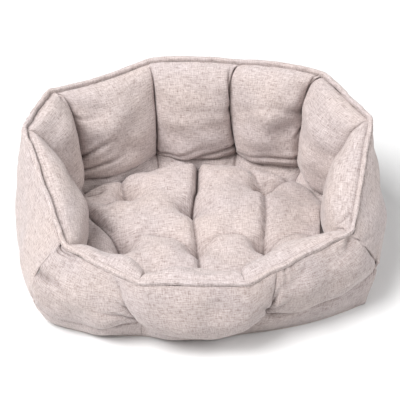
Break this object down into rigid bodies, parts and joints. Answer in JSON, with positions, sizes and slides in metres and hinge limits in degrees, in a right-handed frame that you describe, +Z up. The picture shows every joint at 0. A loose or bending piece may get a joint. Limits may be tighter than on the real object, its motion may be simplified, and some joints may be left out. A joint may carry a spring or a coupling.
{
  "type": "pet cushion bed",
  "caption": "Oval stuffed pet bed: a ring of padded wall pillows, low across the front, round a nest with a loose tufted cushion that lifts out.",
  "frame": {"origin": "on the floor, under the middle of the bed's outline", "axes": "+Z up, -Y towards the low front edge, +X to the right when facing the back wall from the front"},
  "size_m": [0.4912, 0.3984, 0.196],
  "materials": {
    "linen_cover": "heathered slub linen-look weave, matt",
    "base_cloth": "plain weave, matt",
    "fibre_filling": "loose polyester fibre, matt",
    "sewing_thread": "twisted thread, slight sheen"
  },
  "bodies": {
    "bed": {"inner_panel_01": "linen_cover", "inner_panel_02": "linen_cover", "inner_panel_03": "linen_cover", "inner_panel_04": "linen_cover", "inner_panel_05": "linen_cover", "inner_panel_06": "linen_cover", "inner_panel_07": "linen_cover", "inner_panel_08": "linen_cover", "inner_panel_09": "linen_cover", "inner_panel_10": "linen_cover", "outer_panel_01": "linen_cover", "outer_panel_02": "linen_cover", "outer_panel_03": "linen_cover", "outer_panel_04": "linen_cover", "outer_panel_05": "linen_cover", "outer_panel_06": "linen_cover", "outer_panel_07": "linen_cover", "outer_panel_08": "linen_cover", "outer_panel_09": "linen_cover", "outer_panel_10": "linen_cover", "wall_filling_01": "fibre_filling", "wall_filling_02": "fibre_filling", "wall_filling_03": "fibre_filling", "wall_filling_04": "fibre_filling", "wall_filling_05": "fibre_filling", "wall_filling_06": "fibre_filling", "wall_filling_07": "fibre_filling", "wall_filling_08": "fibre_filling", "wall_filling_09": "fibre_filling", "wall_filling_10": "fibre_filling", "rim_welt": "linen_cover", "rim_bar_tacks": "sewing_thread", "wall_tack_threads": "sewing_thread", "base_panel": "base_cloth", "floor_wadding": "fibre_filling", "floor_lining": "base_cloth"},
    "cushion": {"cushion_top": "linen_cover", "cushion_bottom": "linen_cover", "cushion_filling": "fibre_filling", "cushion_tufts": "sewing_thread"}
  },
  "joints": [
    {"name": "cushion_lift", "type": "slide", "parent": "bed", "child": "cushion", "axis": [0, 0, 1], "range_m": [0, 0.2]}
  ]
}
